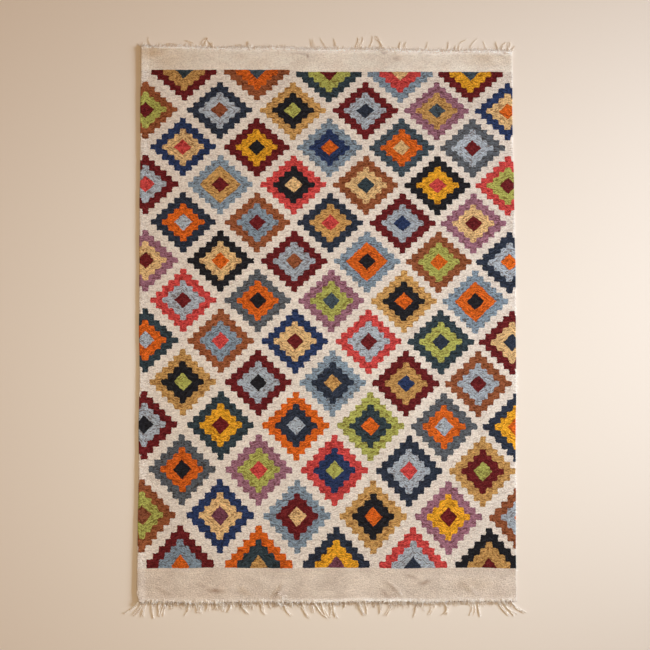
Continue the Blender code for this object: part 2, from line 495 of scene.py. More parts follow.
def writePattern(body):
    steps = body.loops.layers.uv.new("steps")
    layers = [body.loops.layers.float_color.new(name) for name in ("outerYarn", "middleYarn", "coreYarn")]
    intoField = body.verts.layers.float.new("intoField")
    fromEnd = body.verts.layers.float.new("fromEnd")
    twineHighlightShare = body.verts.layers.float.new("twineHighlightShare")
    flatMap = body.loops.layers.uv.new("OFBake")
    for vert in body.verts:
        x, y = vert.co.x, vert.co.y
        vert[intoField] = min(fieldHead(x) - y, y - fieldFoot(x))
        vert[fromEnd] = min(headEdge(x) - y, y - footEdge(x))
        vert[twineHighlightShare] = twineAndHighlightShare(x, y)
    for face in body.faces:
        middle = face.calc_center_median()
        diamond = nearestDiamond(middle.x, middle.y)
        face.normal_update()
        tone = diamond["tone"]
        for loop in face.loops:
            loop[steps].uv = stepsFrom(diamond, loop.vert.co.x, loop.vert.co.y)
            loop[flatMap].uv = flatPlace(face.normal, loop.vert.co)
            for number, layer in enumerate(layers):
                red, green, blue, _ = diamond["yarns"][number]
                flag = diamond["straight"] if number == 1 else diamond["cut"]
                loop[layer] = (red * tone, green * tone, blue * tone, 1.0 if flag else 0.0)


def softStair(group, along, riser, lean):
    # a staircase of unit steps, with softened risers and treads that lean
    lower = mathOf(group, "FLOOR", along)
    rise = putNode(
        group, "ShaderNodeMapRange",
        {0: mathOf(group, "FRACT", along), 1: 0.5 - riser, 2: 0.5 + riser, 3: 0.0, 4: 1.0},
        interpolation_type="SMOOTHSTEP",
    ).outputs[0]
    stair = mathOf(group, "MULTIPLY", mathOf(group, "ADD", lower, rise), 1.0 - lean)
    return mathOf(group, "ADD", stair, mathOf(group, "MULTIPLY", along, lean))


def makeRingGroup():
    group, given, put = newGroup(
        "steppedRings",
        [
            ("Steps", "NodeSocketVector", None), ("Straight", "NodeSocketFloat", 0.0),
            ("Cut", "NodeSocketFloat", 0.0),
        ],
        [("Outer", "NodeSocketFloat"), ("Middle", "NodeSocketFloat"), ("Core", "NodeSocketFloat")],
    )
    parts = putNode(group, "ShaderNodeSeparateXYZ", {0: given.outputs["Steps"]})
    across = mathOf(group, "ABSOLUTE", parts.outputs[0])
    # rings of a cut diamond run straight to the border, and its core widens up to it
    cut = given.outputs["Cut"]
    beyond = mathOf(group, "MULTIPLY", parts.outputs[1], mathOf(group, "SUBTRACT", cut, 1.0))
    along = mathOf(group, "MAXIMUM", parts.outputs[1], beyond)
    slope = mathOf(group, "ADD", across, along)
    fromBorder = mathOf(group, "ADD", parts.outputs[1], mathOf(group, "MULTIPLY", cut, 0.5))
    taller = mathOf(group, "SUBTRACT", 1.0, mathOf(group, "MULTIPLY", cut, pattern["cutCore"]))
    fromBorder = mathOf(group, "MULTIPLY", mathOf(group, "ABSOLUTE", fromBorder), taller)
    coreSlope = mathOf(group, "ADD", across, fromBorder)
    crispReach = mathOf(group, "ADD", across, softStair(group, along, 0.04, 0.06))
    softReach = mathOf(group, "ADD", across, softStair(group, along, 0.08, 0.15))
    straight = given.outputs["Straight"]
    softPart = mathOf(group, "MULTIPLY", softReach, mathOf(group, "SUBTRACT", 1.0, straight))
    middleReach = mathOf(group, "ADD", softPart, mathOf(group, "MULTIPLY", slope, straight))
    for name, reach, edge in (
        ("Outer", crispReach, "outerReach"), ("Middle", middleReach, "middleReach"),
        ("Core", coreSlope, "coreReach"),
    ):
        group.links.new(mathOf(group, "LESS_THAN", reach, pattern[edge]), put.inputs[name])
    return group


def makeSpotGroup():
    group, given, put = newGroup(
        "softSpot",
        [
            ("Vector", "NodeSocketVector", None), ("Middle", "NodeSocketVector", None),
            ("Reach", "NodeSocketVector", None), ("Turn", "NodeSocketFloat", 0.0),
        ],
        [("Share", "NodeSocketFloat")],
    )
    away = vectorOf(group, "SUBTRACT", given.outputs["Vector"], given.outputs["Middle"])
    turned = putNode(
        group, "ShaderNodeVectorRotate", {"Vector": away, "Angle": given.outputs["Turn"]},
        rotation_type="Z_AXIS", invert=True,
    )
    scaled = vectorOf(group, "DIVIDE", turned.outputs[0], given.outputs["Reach"])
    distance = putNode(group, "ShaderNodeVectorMath", {0: scaled}, operation="LENGTH").outputs["Value"]
    group.links.new(rangeOf(group, distance, 0.10, 1.15, 1.0, 0.0), put.inputs["Share"])
    return group


def makeFleckGroup():
    group, given, put = newGroup(
        "yarnFlecks",
        [
            ("Vector", "NodeSocketVector", None),
            ("Color", "NodeSocketColor", None),
            ("Length", "NodeSocketFloat", 0.0100),
            ("Width", "NodeSocketFloat", 0.0040),
            ("Slant", "NodeSocketFloat", 0.0),
            ("Contrast", "NodeSocketFloat", 1.0),
            ("Specks", "NodeSocketFloat", 0.5),
            ("Drift", "NodeSocketFloat", 0.5),
        ],
        [
            ("Color", "NodeSocketColor"), ("Roughness", "NodeSocketFloat"),
            ("Height", "NodeSocketFloat"),
        ],
    )
    place = given.outputs["Vector"]
    parts = putNode(group, "ShaderNodeSeparateXYZ", {0: place})
    lift = mathOf(group, "MULTIPLY", parts.outputs[0], given.outputs["Slant"])
    slanted = vectorOf(group, "ADD", place, putNode(group, "ShaderNodeCombineXYZ", {1: lift}).outputs[0])
    swirl = putNode(group, "ShaderNodeTexNoise", {"Vector": place, "Scale": 160.0, "Detail": 2.0})
    swirlOffset = vectorOf(group, "SUBTRACT", swirl.outputs["Color"], (0.5, 0.5, 0.5))
    wander = vectorOf(group, "MULTIPLY", swirlOffset, (0.0035, 0.0035, 0.0035))
    size = putNode(group, "ShaderNodeCombineXYZ", {
        0: given.outputs["Length"], 1: given.outputs["Width"], 2: given.outputs["Length"],
    })
    cells = vectorOf(group, "DIVIDE", vectorOf(group, "ADD", slanted, wander), size.outputs[0])
    fleck = putNode(group, "ShaderNodeTexVoronoi", {"Vector": cells, "Scale": 1.0, "Randomness": 0.9})
    draws = putNode(group, "ShaderNodeSeparateColor", {0: fleck.outputs["Color"]})
    dark = rangeOf(group, draws.outputs[0], 0.12, 0.36, 1.0, 0.0)
    light = rangeOf(group, draws.outputs[0], 0.66, 0.92, 0.0, 0.40)
    crevice = rangeOf(group, fleck.outputs["Distance"], 0.38, 0.78, 0.0, 1.0)
    fibre = putNode(group, "ShaderNodeTexNoise", {
        "Vector": place, "Scale": 520.0, "Detail": 3.0, "Roughness": 0.7,
    })
    patch = putNode(group, "ShaderNodeTexNoise", {"Vector": place, "Scale": 9.0, "Detail": 3.0})
    dots = putNode(group, "ShaderNodeTexNoise", {"Vector": place, "Scale": 240.0, "Detail": 2.0})
    speck = rangeOf(group, dots.outputs["Fac"], 0.58, 0.68, 0.0, 1.0)
    contrast = given.outputs["Contrast"]

    # the flecks lighten or dull the yarn a little, and painted shade darkens them towards their borders
    grain = mathOf(group, "MULTIPLY", mathOf(group, "SUBTRACT", fibre.outputs["Fac"], 0.5), 0.7)
    tone = mathOf(group, "ADD", light, grain)
    tone = mathOf(group, "SUBTRACT", tone, mathOf(group, "MULTIPLY", crevice, 0.2))
    tone = mathOf(group, "MULTIPLY", tone, contrast)
    drift = mathOf(group, "SUBTRACT", patch.outputs["Fac"], 0.5)
    tone = mathOf(group, "ADD", tone, mathOf(group, "MULTIPLY", drift, given.outputs["Drift"]))
    tone = mathOf(group, "ADD", tone, 1.06)
    toneColour = putNode(group, "ShaderNodeCombineXYZ", {0: tone, 1: tone, 2: tone}).outputs[0]
    tinted = vectorOf(group, "MULTIPLY", given.outputs["Color"], toneColour)

    # dark flecks and gaps are partly darker yarn and partly painted shade between the yarns, and turn deeper
    # and warmer, not grey; pale flecks get a little grey painted sheen
    shade = mathOf(group, "MULTIPLY", mathOf(group, "MULTIPLY", dark, contrast), 0.98)
    gap = mathOf(group, "MULTIPLY", mathOf(group, "MULTIPLY", speck, given.outputs["Specks"]), 0.95)
    shade = mathOf(group, "MAXIMUM", shade, gap)
    deep = vectorOf(group, "MULTIPLY", tinted, (0.44, 0.32, 0.27))
    shaded = mixOf(group, shade, tinted, deep)
    paintedSheen = mathOf(group, "MULTIPLY", mathOf(group, "MULTIPLY", light, contrast), 0.02)
    paintedSheenColour = putNode(group, "ShaderNodeCombineXYZ", {0: paintedSheen, 1: paintedSheen, 2: paintedSheen}).outputs[0]
    group.links.new(vectorOf(group, "ADD", shaded, paintedSheenColour), put.inputs["Color"])
    group.links.new(rangeOf(group, draws.outputs[1], 0.0, 1.0, 0.84, 0.97), put.inputs["Roughness"])
    height = mathOf(group, "SUBTRACT", mathOf(group, "ADD", 1.0, light), mathOf(group, "ADD", crevice, shade))
    height = mathOf(group, "ADD", height, mathOf(group, "MULTIPLY", fibre.outputs["Fac"], 0.4))
    group.links.new(height, put.inputs["Height"])
    return group


ringGroup = makeRingGroup()
fleckGroup = makeFleckGroup()
spotGroup = makeSpotGroup()


def newMaterial(name):
    material = bpy.data.materials.new(name)
    material.use_nodes = True
    shader = material.node_tree.nodes["Principled BSDF"]
    return material, material.node_tree, shader


def spotShare(tree, place, spots):
    share = 0.0
    for midX, midY, halfLength, halfWidth, degrees, strength in spots:
        spot = useGroup(tree, spotGroup, {
            "Vector": place,
            "Middle": (midX + shift.x, midY + shift.y, outline["thickness"]),
            "Reach": (halfLength, halfWidth, 1.0),
            "Turn": math.radians(degrees),
        })
        share = mathOf(tree, "MAXIMUM", share, mathOf(tree, "MULTIPLY", spot.outputs["Share"], strength))
    return share


def makeKilimMaterial():
    material, tree, shader = newMaterial("kilimWool")
    place = putNode(tree, "ShaderNodeTexCoord").outputs["Object"]
    steps = putNode(tree, "ShaderNodeUVMap", uv_map="steps").outputs[0]
    attributes = {
        name: putNode(tree, "ShaderNodeAttribute", attribute_name=name)
        for name in ("outerYarn", "middleYarn", "coreYarn", "intoField", "fromEnd", "twineHighlightShare")
    }

    # the rings, with yarns that wander a little over their borders
    ragged = putNode(tree, "ShaderNodeTexNoise", {"Vector": place, "Scale": 140.0, "Detail": 3.0})
    loose = putNode(tree, "ShaderNodeTexNoise", {"Vector": place, "Scale": 28.0, "Detail": 1.0})
    wobble = vectorOf(tree, "SUBTRACT", ragged.outputs["Color"], (0.5, 0.5, 0.5))
    wobble = vectorOf(tree, "MULTIPLY", wobble, (0.56, 0.40, 0.0))
    ragShift = vectorOf(tree, "MULTIPLY", wobble, (0.012, 0.012, 0.0))
    drift = vectorOf(tree, "SUBTRACT", loose.outputs["Color"], (0.5, 0.5, 0.5))
    drift = vectorOf(tree, "MULTIPLY", drift, (0.42, 0.36, 0.0))
    moved = vectorOf(tree, "ADD", vectorOf(tree, "ADD", steps, wobble), drift)
    straight = attributes["middleYarn"].outputs["Alpha"]
    cut = attributes["coreYarn"].outputs["Alpha"]
    rings = useGroup(tree, ringGroup, {"Steps": moved, "Straight": straight, "Cut": cut})
    outer, middle, core = (rings.outputs[name] for name in ("Outer", "Middle", "Core"))
    border = mathOf(tree, "MULTIPLY", mathOf(tree, "SUBTRACT", ragged.outputs["Fac"], 0.5), 0.004)
    intoField = mathOf(tree, "ADD", attributes["intoField"].outputs["Fac"], border)
    inField = mathOf(tree, "GREATER_THAN", intoField, 0.0)

    # the bare cream ground is calmer than the dyed yarns
    dyed = mathOf(tree, "MULTIPLY", outer, inField)
    dots = putNode(tree, "ShaderNodeTexNoise", {"Vector": place, "Scale": 230.0, "Detail": 1.0})
    flushed = rangeOf(tree, dots.outputs["Fac"], 0.58, 0.70, 0.0, 0.60)
    colour = mixOf(tree, flushed, cream, creamSpeck)
    colour = mixOf(tree, outer, colour, attributes["outerYarn"].outputs["Color"])
    colour = mixOf(tree, middle, colour, attributes["middleYarn"].outputs["Color"])
    colour = mixOf(tree, core, colour, attributes["coreYarn"].outputs["Color"])

    # the plain bands are mottled and faintly stained, with painted shade along their creases and a paler
    # twined edge that also carries a painted highlight
    mottle = putNode(tree, "ShaderNodeTexNoise", {
        "Vector": vectorOf(tree, "MULTIPLY", place, (15.0, 24.0, 1.0)), "Scale": 1.0, "Detail": 5.0,
    })
    atFoot = mathOf(tree, "LESS_THAN", putNode(tree, "ShaderNodeSeparateXYZ", {0: place}).outputs[1], 0.0)
    stain = rangeOf(tree, mottle.outputs["Fac"], 0.36, 0.66, 0.0, 1.0)
    plain = mixOf(tree, atFoot, mixOf(tree, stain, *headBand), mixOf(tree, stain, *footBand))
    strayed = vectorOf(tree, "SUBTRACT", mottle.outputs["Color"], (0.5, 0.5, 0.5))
    strayed = vectorOf(tree, "MULTIPLY", strayed, (0.036, 0.024, 0.0))
    strayed = vectorOf(tree, "ADD", vectorOf(tree, "ADD", place, strayed), ragShift)
    plain = mixOf(tree, spotShare(tree, strayed, stains), plain, stainedBand)
    # painted shade along the creases
    plain = mixOf(tree, spotShare(tree, strayed, paintedCreaseShade), plain, creaseShadeColour)
    # the twined ends are painted paler: partly their paler yarn, partly painted highlight
    rim = rangeOf(tree, attributes["fromEnd"].outputs["Fac"], 0.005, 0.014, 1.0, 0.0)
    rim = mathOf(tree, "MULTIPLY", rim, attributes["twineHighlightShare"].outputs["Fac"])
    plain = mixOf(tree, rim, plain, paleTwineAndHighlight)

    # painted shade in the gaps between the knots along the foot edge
    knots = putNode(tree, "ShaderNodeTexNoise", {
        "Vector": vectorOf(tree, "MULTIPLY", place, (1.0, 0.2, 1.0)), "Scale": 150.0, "Detail": 2.0,
    })
    paintedEdgeShade = rangeOf(tree, knots.outputs["Fac"], 0.42, 0.56, 0.0, 0.9)
    atEdge = rangeOf(tree, attributes["fromEnd"].outputs["Fac"], 0.0015, 0.0040, 1.0, 0.0)
    paintedEdgeShade = mathOf(tree, "MULTIPLY", mathOf(tree, "MULTIPLY", paintedEdgeShade, atEdge), atFoot)
    plain = mixOf(tree, paintedEdgeShade, plain, paintedKnotShade)
    colour = mixOf(tree, inField, plain, colour)

    # flecks of spun yarn lie along the rings, mirrored from side to side
    turned = putNode(tree, "ShaderNodeSeparateXYZ", {0: steps})
    side = mathOf(tree, "SIGN", mathOf(tree, "MULTIPLY", turned.outputs[0], turned.outputs[1]))
    lean = mathOf(tree, "ADD", 0.22, mathOf(tree, "MULTIPLY", middle, 0.20))
    slant = mathOf(tree, "MULTIPLY", mathOf(tree, "MULTIPLY", side, lean), dyed)
    groundContrast = mathOf(tree, "ADD", 0.22, mathOf(tree, "MULTIPLY", inField, 0.14))
    flecks = useGroup(tree, fleckGroup, {
        "Vector": place,
        "Color": colour,
        "Length": mathOf(tree, "ADD", mathOf(tree, "MULTIPLY", inField, 0.0018), 0.0046),
        "Width": mathOf(tree, "ADD", mathOf(tree, "MULTIPLY", inField, 0.0004), 0.0026),
        "Slant": slant,
        "Contrast": mathOf(tree, "ADD", mathOf(tree, "MULTIPLY", dyed, 0.60), groundContrast),
        "Specks": mathOf(tree, "ADD", mathOf(tree, "MULTIPLY", dyed, 0.62), 0.18),
        "Drift": 0.30,
    })
    seams = mathOf(tree, "SUBTRACT", mathOf(tree, "ADD", outer, core), middle)
    seams = mathOf(tree, "MULTIPLY", mathOf(tree, "MULTIPLY", seams, inField), 0.5)
    height = mathOf(tree, "ADD", flecks.outputs["Height"], seams)
    bump = putNode(tree, "ShaderNodeBump", {"Strength": 0.75, "Distance": 0.0012, "Height": height})
    tree.links.new(flecks.outputs["Color"], shader.inputs["Base Color"])
    tree.links.new(flecks.outputs["Roughness"], shader.inputs["Roughness"])
    tree.links.new(bump.outputs[0], shader.inputs["Normal"])
    shader.inputs["Sheen Weight"].default_value = 0.03
    shader.inputs["Sheen Roughness"].default_value = 0.6
    shader.inputs["Specular IOR Level"].default_value = 0.12
    return material


def makeYarnMaterial():
    material, tree, shader = newMaterial("warpYarn")
    place = putNode(tree, "ShaderNodeTexCoord").outputs["Object"]
    tint = putNode(tree, "ShaderNodeTexNoise", {"Vector": place, "Scale": 60.0, "Detail": 2.0})
    share = rangeOf(tree, tint.outputs["Fac"], 0.38, 0.66, 0.0, 1.0)
    colour = mixOf(tree, share, warpPale, warpTan)
    # stray fibres are paler, and the fibres at the foot are darkened with painted shade
    paleness = putNode(tree, "ShaderNodeAttribute", attribute_name="paleness").outputs["Fac"]
    pale = mathOf(tree, "MULTIPLY", paleness, 1.0, clamp=True)
    shaded = mathOf(tree, "MULTIPLY", paleness, -1.0, clamp=True)
    colour = mixOf(tree, pale, colour, fibreWhite)
    colour = mixOf(tree, shaded, colour, paintedKnotShade)
    flecks = useGroup(tree, fleckGroup, {
        "Vector": place, "Color": colour, "Length": 0.0030, "Width": 0.0020,
        "Contrast": 0.4, "Specks": 0.2, "Drift": 0.25,
    })
    bump = putNode(tree, "ShaderNodeBump", {
        "Strength": 0.4, "Distance": 0.0004, "Height": flecks.outputs["Height"],
    })
    tree.links.new(flecks.outputs["Color"], shader.inputs["Base Color"])
    tree.links.new(flecks.outputs["Roughness"], shader.inputs["Roughness"])
    tree.links.new(bump.outputs[0], shader.inputs["Normal"])
    shader.inputs["Sheen Weight"].default_value = 0.1
    shader.inputs["Specular IOR Level"].default_value = 0.15
    return material


fringe = {
    "plyPitch": 0.0090,
    "pointGap": 0.0032,
    "rootDepth": 0.004,  # how far the strands start inside the edge
    "frayFrom": 0.82,  # the two plies part beyond this share of the length
}
headFringeStyle = {
    "yarn": 0.00064, "paleness": 0.15, "rootHeight": 0.0032, "topHeight": 0.0068, "onTop": 0.25,
    "tuftReach": 0.0075, "tuftGap": 0.0060, "seed": 11,
}
footFringeStyle = {
    "yarn": 0.00094, "paleness": 0.55, "rootHeight": 0.0056, "topHeight": 0.0096, "onTop": 0.45,
    "tuftReach": 0.0150, "tuftGap": 0.0036, "seed": 23,
}
# tassels: root along the edge, lean of the tip to the right, reach out of the edge, strands, spread, bow
headTassels = (
    (-0.586, -0.018, 0.010, 3, 0.006, 0.002),
    (-0.537, -0.036, 0.034, 1, 0.002, -0.008),
    (-0.556, -0.014, 0.012, 2, 0.005, 0.003),
    (-0.500, -0.015, 0.014, 3, 0.008, 0.004),
    (-0.480, -0.016, 0.016, 2, 0.006, 0.005),
    (-0.424, -0.028, 0.025, 2, 0.003, 0.010),
    (-0.390, 0.006, 0.040, 3, 0.008, -0.004),
    (-0.378, 0.014, 0.026, 2, 0.006, 0.006),
    (-0.362, -0.018, 0.030, 3, 0.005, 0.004),
    (-0.272, -0.010, 0.014, 3, 0.010, 0.003),
    (-0.236, -0.016, 0.024, 3, 0.008, -0.003),
    (-0.146, 0.008, 0.013, 3, 0.010, 0.002),
    (-0.098, -0.006, 0.010, 2, 0.010, 0.002),
    (-0.031, -0.016, 0.038, 2, 0.002, -0.003),
    (-0.001, -0.022, 0.043, 1, 0.001, 0.006),
    (0.048, -0.017, 0.041, 2, 0.002, -0.003),
    (0.090, 0.020, 0.040, 2, 0.003, 0.003),
    (0.102, 0.016, 0.044, 1, 0.001, 0.003),
    (0.125, 0.022, 0.046, 1, 0.001, 0.005),
    (0.184, -0.030, 0.047, 3, 0.004, 0.005),
    (0.234, 0.005, 0.034, 2, 0.002, -0.002),
    (0.250, 0.003, 0.030, 1, 0.001, 0.002),
    (0.309, 0.014, 0.030, 1, 0.001, 0.003),
    (0.360, 0.004, 0.012, 1, 0.001, 0.001),
    (0.379, 0.011, 0.036, 1, 0.001, 0.005),
    (0.421, 0.032, 0.044, 1, 0.001, -0.008),
    (0.410, 0.004, 0.024, 1, 0.001, 0.002),
    (0.459, 0.025, 0.043, 1, 0.001, -0.003),
    (0.519, -0.019, 0.033, 1, 0.001, 0.003),
    (0.548, -0.004, 0.034, 2, 0.004, 0.003),
    (0.560, 0.010, 0.036, 2, 0.004, -0.004),
    (0.576, 0.012, 0.034, 2, 0.005, 0.004),
    (0.588, 0.012, 0.022, 1, 0.003, 0.003),
)
footTassels = (
    (-0.596, -0.052, 0.038, 4, 0.008, 0.006),
    (-0.586, -0.030, 0.046, 3, 0.008, 0.004),
    (-0.574, -0.014, 0.050, 2, 0.004, -0.004),
    (-0.554, 0.003, 0.055, 2, 0.004, -0.005),
    (-0.537, 0.002, 0.048, 3, 0.005, 0.003),
    (-0.520, -0.006, 0.050, 2, 0.003, 0.003),
    (-0.505, 0.012, 0.024, 1, 0.002, 0.003),
    (-0.438, -0.016, 0.042, 2, 0.003, 0.004),
    (-0.420, 0.012, 0.034, 3, 0.007, 0.005),
    (-0.396, -0.006, 0.036, 3, 0.006, -0.005),
    (-0.380, 0.003, 0.028, 2, 0.005, 0.004),
    (-0.352, -0.004, 0.026, 4, 0.012, 0.007),
    (-0.334, 0.006, 0.032, 3, 0.010, -0.006),
    (-0.306, -0.010, 0.035, 2, 0.004, 0.003),
    (-0.270, 0.024, 0.040, 3, 0.005, -0.006),
    (-0.254, 0.018, 0.028, 2, 0.004, 0.005),
    (-0.202, 0.007, 0.044, 3, 0.004, -0.007),
    (-0.139, 0.026, 0.050, 2, 0.003, -0.006),
    (-0.118, 0.010, 0.018, 2, 0.005, 0.004),
    (-0.078, 0.022, 0.052, 3, 0.004, -0.005),
    (-0.064, 0.018, 0.036, 2, 0.004, 0.006),
    (-0.040, 0.034, 0.050, 2, 0.003, -0.008),
    (-0.018, 0.026, 0.055, 2, 0.003, -0.006),
    (0.012, 0.008, 0.050, 2, 0.004, 0.005),
    (0.022, 0.010, 0.054, 2, 0.003, -0.006),
    (0.058, -0.002, 0.018, 2, 0.005, 0.003),
    (0.107, 0.012, 0.048, 3, 0.004, -0.005),
    (0.122, 0.004, 0.050, 2, 0.004, 0.005),
    (0.171, 0.001, 0.040, 2, 0.002, 0.004),
    (0.214, -0.021, 0.048, 2, 0.003, 0.004),
    (0.304, -0.021, 0.050, 2, 0.004, -0.003),
    (0.343, -0.013, 0.046, 2, 0.003, 0.005),
    (0.370, 0.018, 0.042, 2, 0.002, 0.008),
    (0.394, -0.018, 0.048, 2, 0.003, 0.006),
    (0.436, 0.008, 0.010, 1, 0.002, 0.002),
    (0.462, 0.006, 0.050, 2, 0.003, 0.008),
    (0.488, 0.010, 0.052, 2, 0.004, -0.004),
    (0.530, 0.006, 0.012, 2, 0.004, 0.002),
    (0.549, 0.038, 0.051, 2, 0.003, -0.005),
    (0.562, 0.042, 0.050, 3, 0.004, -0.006),
    (0.588, 0.050, 0.038, 3, 0.005, -0.008),
)


def strandRoute(chance, root, outward, lean, reach, depth, bow, style):
    length = math.hypot(lean, reach)
    count = max(5, round(length / fringe["pointGap"]))
    phase, curl = chance.uniform(0, 2 * math.pi), chance.uniform(0.4, 1.2)
    waves = chance.uniform(0.7, 1.5)
    rest = style["yarn"] * chance.uniform(1.75, 2.3)
    arch = chance.uniform(0.0, 0.0012)
    start = style["rootHeight"] if depth == fringe["rootDepth"] else style["topHeight"]
    points = []
    for number in range(count + 1):
        share = number / count
        sway = math.sin(math.pi * share) * bow
        sway += 0.0016 * curl * math.sin(2 * math.pi * waves * share + phase) * smooth(0, 0.35, share)
        x = root[0] + lean * share + sway * reach / length
        y = root[1] + outward * (reach * share - sway * lean / length)
        z = blend(start, rest, smooth(-0.001, 0.010, reach * share - depth))
        points.append(Vector((x, y, z + arch * math.sin(math.pi * share) ** 2)))
    return points


def plySplines(curve, points, radius, phase):
    for side in (0, math.pi):
        spline = curve.splines.new("POLY")
        spline.points.add(len(points) - 1)
        travelled = 0.0
        for number, point in enumerate(points):
            share = number / (len(points) - 1)
            ahead = points[min(number + 1, len(points) - 1)] - points[max(number - 1, 0)]
            ahead.normalize()
            sideways = ahead.cross(Vector((0, 0, 1)))
            sideways.normalize()
            upwards = sideways.cross(ahead)
            if number:
                travelled += (point - points[number - 1]).length
            turn = phase + side + 2 * math.pi * travelled / fringe["plyPitch"]
            away = radius * (0.72 + 1.5 * max(0.0, share - fringe["frayFrom"]))
            place = point + (sideways * math.cos(turn) + upwards * math.sin(turn)) * away
            place.z = max(place.z, radius * 0.8)
            spline.points[number].co = (*place, 1.0)
            spline.points[number].radius = radius * (1.0 - 0.45 * smooth(0.75, 1.0, share))


def newCurve(name):
    curve = bpy.data.curves.new(name, "CURVE")
    curve.dimensions = "3D"
    curve.bevel_depth = 1.0
    curve.bevel_resolution = 0
    curve.use_fill_caps = True
    return curve


def curveToPiece(curve, name, material, paleness):
    holder = bpy.data.objects.new(name + "Curve", curve)
    bpy.context.collection.objects.link(holder)
    bpy.context.view_layer.update()
    mesh = bpy.data.meshes.new_from_object(holder.evaluated_get(bpy.context.evaluated_depsgraph_get()))
    bpy.data.objects.remove(holder)
    body = bmesh.new()
    body.from_mesh(mesh)
    bmesh.ops.remove_doubles(body, verts=body.verts, dist=1e-6)
    bmesh.ops.translate(body, verts=body.verts, vec=shift)
    bmesh.ops.recalc_face_normals(body, faces=body.faces)
    body.to_mesh(mesh)
    body.free()
    mesh.name = name
    values = mesh.attributes.new("paleness", "FLOAT", "POINT").data
    values.foreach_set("value", [paleness] * len(mesh.vertices))
    mesh.materials.clear()
    mesh.materials.append(material)
    mesh.shade_smooth()
    piece = bpy.data.objects.new(name, mesh)
    bpy.context.collection.objects.link(piece)
    return piece


def makeFringe(name, tassels, style, edge, outward, material):
    chance = random.Random(style["seed"])
    curve = newCurve(name)

    def addStrand(x, lean, reach, bow, thickness):
        depth = fringe["rootDepth"]
        if chance.random() < style["onTop"]:
            depth = chance.uniform(0.006, 0.011)
        root = (x, edge(x) - outward * depth)
        points = strandRoute(chance, root, outward, lean, reach + depth, depth, bow, style)
        plySplines(curve, points, style["yarn"] * thickness, chance.uniform(0, 2 * math.pi))

    for along, lean, reach, strands, spread, bow in tassels:
        for number in range(strands):
            offset = (number / max(strands - 1, 1) - 0.5) * spread if strands > 1 else 0.0
            looseness = 0.18 * reach * (0.4 if strands == 1 else 1.0)
            addStrand(
                along + offset + chance.uniform(-0.0006, 0.0006),
                lean + chance.uniform(-looseness, looseness),
                reach * chance.uniform(0.86, 1.0), bow * chance.uniform(0.6, 1.2), chance.uniform(0.75, 1.0),
            )
    along = 1.0 if outward > 0 else 0.0
    x = sideEdge(-1, along) + 0.004
    while x < sideEdge(1, along) - 0.004:
        short = style["tuftReach"]
        addStrand(
            x, chance.uniform(-0.7, 0.7) * short, short * chance.uniform(0.4, 1.2),
            chance.uniform(-0.003, 0.003), chance.uniform(0.45, 0.75),
        )
        x += style["tuftGap"] * chance.uniform(0.5, 1.6)
    return curveToPiece(curve, name, material, style["paleness"])


# stray fibres: where along the rug they start and end, which side, how many and how long
straySides = (
    (0.05, 0.42, 1, 260, 0.010),
    (0.42, 0.98, 1, 70, 0.006),
    (0.00, 0.20, -1, 40, 0.007),
    (0.20, 0.96, -1, 50, 0.005),
    (0.96, 1.00, -1, 30, 0.012),
)
# and along the ends: head or foot, how many, how long, how thick, how high they start
strayEnds = ((1, 2100, 0.017, 0.00052, 0.0070), (-1, 420, 0.013, 0.00036, 0.0094))
strayFibresSeed = 31
# darker fibres at the foot: short ones whose dark colour is painted shade under the knots, and long thin
# wisps of tan yarn darkened further with painted shade
footShadeFibres = {
    "paleness": -1.0, "low": -0.60, "high": 0.60, "count": 620, "reach": 0.0085,
    "radius": 0.0005, "top": 0.0030, "seed": 47,
}
wispsWithPaintedShade = {
    "paleness": -0.38, "low": -0.56, "high": 0.32, "count": 460, "reach": 0.0300,
    "radius": 0.00048, "top": 0.0060, "seed": 53,
}
# tangles of loose yarn on the foot band: middle x, y, size, how many arcs
tangles = (
    (-0.152, -0.878, 0.0100, 30),
    (-0.136, -0.862, 0.0110, 9),
    (-0.164, -0.848, 0.0130, 6),
    (0.246, -0.876, 0.0080, 14),
    (0.226, -0.852, 0.0130, 6),
    (-0.330, -0.884, 0.0080, 10),
)


def addFibre(curve, points, radius):
    spline = curve.splines.new("POLY")
    spline.points.add(len(points) - 1)
    for number, point in enumerate(points):
        share = number / (len(points) - 1)
        spline.points[number].co = (*point, 1.0)
        spline.points[number].radius = radius * (1.0 - 0.5 * share)


def addEndFibre(curve, chance, outward, low, high, reach, radius, top):
    edge = headEdge if outward > 0 else footEdge
    x = chance.uniform(low, high)
    lean, length = chance.uniform(-1.1, 1.1), reach * chance.uniform(0.3, 1.2)
    bend = chance.uniform(-0.8, 0.8)
    points = []
    for number in range(5):
        share = number / 4
        out = length * share * math.cos(lean + bend * share) - fringe["rootDepth"]
        side = length * share * math.sin(lean + bend * share)
        points.append((x + side, edge(x) + outward * out, blend(top, 0.0008, smooth(-0.001, 0.008, out))))
    addFibre(curve, points, radius * chance.uniform(0.7, 1.3))


def makeFootFibres(name, fibres, material):
    chance = random.Random(fibres["seed"])
    curve = newCurve(name)
    settings = [fibres[key] for key in ("low", "high", "reach", "radius", "top")]
    for _ in range(fibres["count"]):
        addEndFibre(curve, chance, -1, *settings)
    return curveToPiece(curve, name, material, fibres["paleness"])


